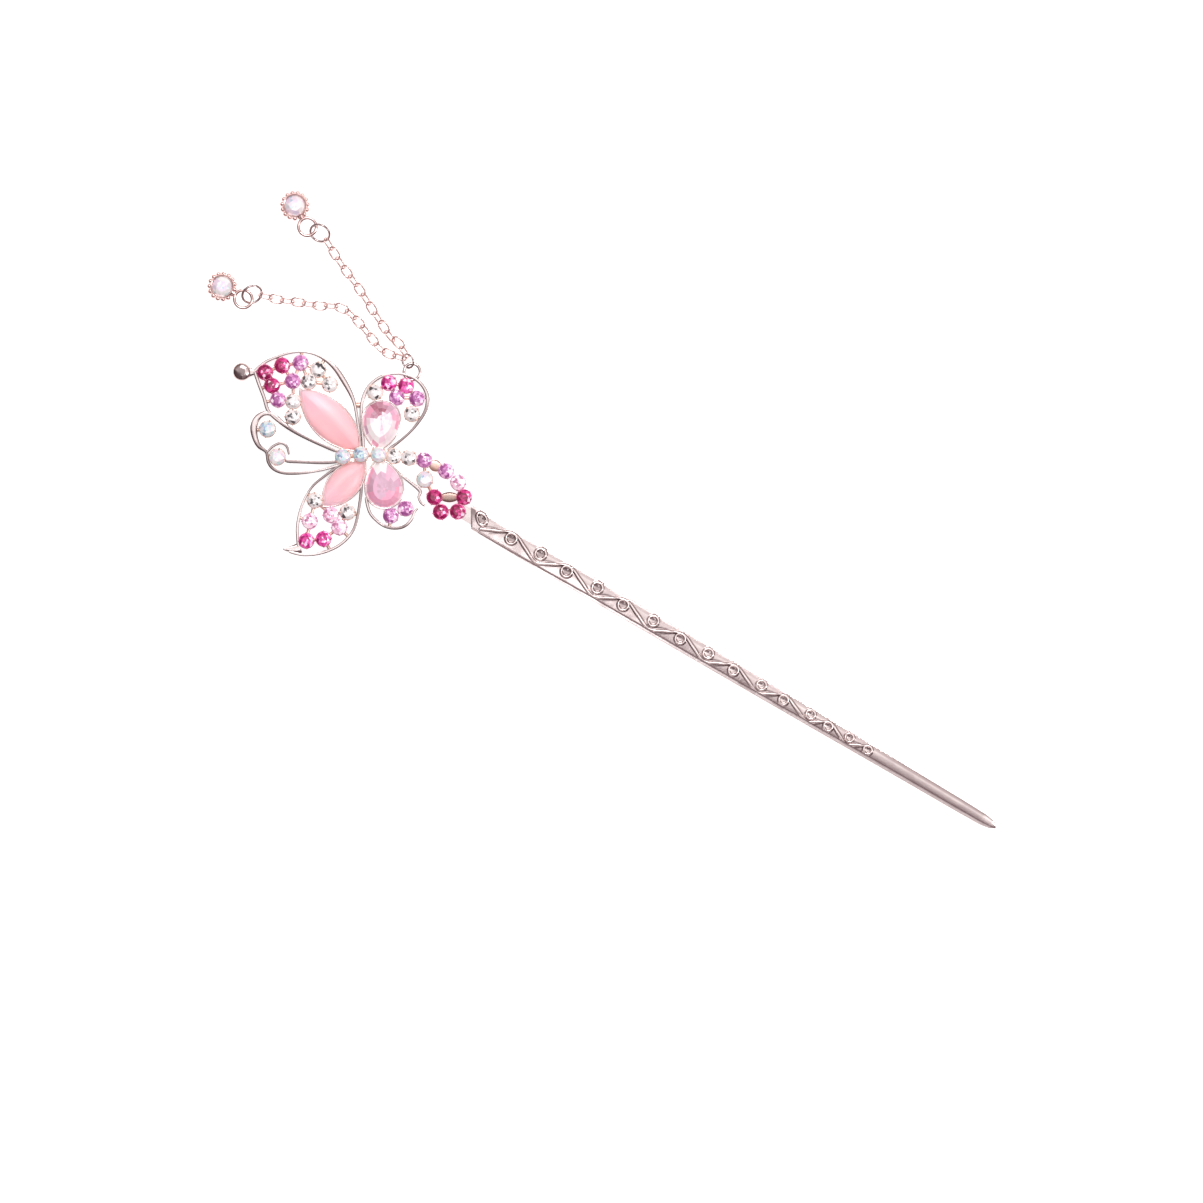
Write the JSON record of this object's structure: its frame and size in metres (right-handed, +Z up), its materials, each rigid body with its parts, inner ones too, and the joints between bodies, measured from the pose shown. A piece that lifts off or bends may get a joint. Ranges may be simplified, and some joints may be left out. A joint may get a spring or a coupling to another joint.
{
  "type": "butterfly buyao hairpin",
  "caption": "Butterfly hairpin: stone-set openwork wings on a tapered stick with a relief vine, two beaded drops hanging on fine chains.",
  "frame": {"origin": "root of the stick where it meets the tail, on the floor", "axes": "+X along the stick to its tip, +Y across the stick towards the drops' side, +Z up, away from the surface it lies on"},
  "size_m": [0.1913, 0.0636, 0.0036],
  "materials": {
    "rose_metal": "polished rose gold plating",
    "chain_metal": "polished rose gold plating, warmer",
    "fuchsia_glass": "foiled cut glass",
    "deep_fuchsia_glass": "foiled cut glass",
    "lilac_glass": "foiled cut glass",
    "pale_pink_glass": "foiled cut glass",
    "clear_glass": "foiled cut glass",
    "opal_glass": "cut glass with a rainbow coat",
    "cat_eye_glass": "fibre cat's eye cabochon, opaque with a pale band",
    "rose_glass": "foiled cut glass"
  },
  "bodies": {
    "root": {"frame": "rose_metal", "upper_left_fuchsia_stones": "deep_fuchsia_glass", "upper_left_lilac_stones": "lilac_glass", "upper_left_clear_stones": "clear_glass", "upper_right_fuchsia_stones": "fuchsia_glass", "upper_right_lilac_stones": "lilac_glass", "upper_right_clear_stones": "clear_glass", "lower_left_clear_stones": "clear_glass", "lower_left_pink_stones": "pale_pink_glass", "lower_left_fuchsia_stones": "fuchsia_glass", "lower_right_lilac_stones": "lilac_glass", "body_stone_1": "opal_glass", "body_stone_2": "opal_glass", "body_stone_3": "opal_glass", "tail_stone_1": "clear_glass", "tail_stone_2": "clear_glass", "tail_stone_3": "lilac_glass", "tail_stone_4": "lilac_glass", "tail_stone_5": "pale_pink_glass", "tail_stone_6": "deep_fuchsia_glass", "tail_stone_7": "deep_fuchsia_glass", "tail_stone_8": "deep_fuchsia_glass", "tail_stone_9": "deep_fuchsia_glass", "feeler_stone_1": "opal_glass", "feeler_stone_2": "opal_glass", "curl_stone": "opal_glass", "upper_left_cat_eye": "cat_eye_glass", "lower_left_cat_eye": "cat_eye_glass", "upper_right_pear": "rose_glass", "lower_right_pear": "rose_glass", "setting_1": "chain_metal", "setting_2": "chain_metal", "drop_stone_1": "opal_glass", "drop_stone_2": "opal_glass", "jump_ring_1": "rose_metal", "jump_ring_2": "rose_metal", "bail_ring": "rose_metal", "chain_1": "chain_metal", "chain_2": "chain_metal"}
  },
  "joints": []
}
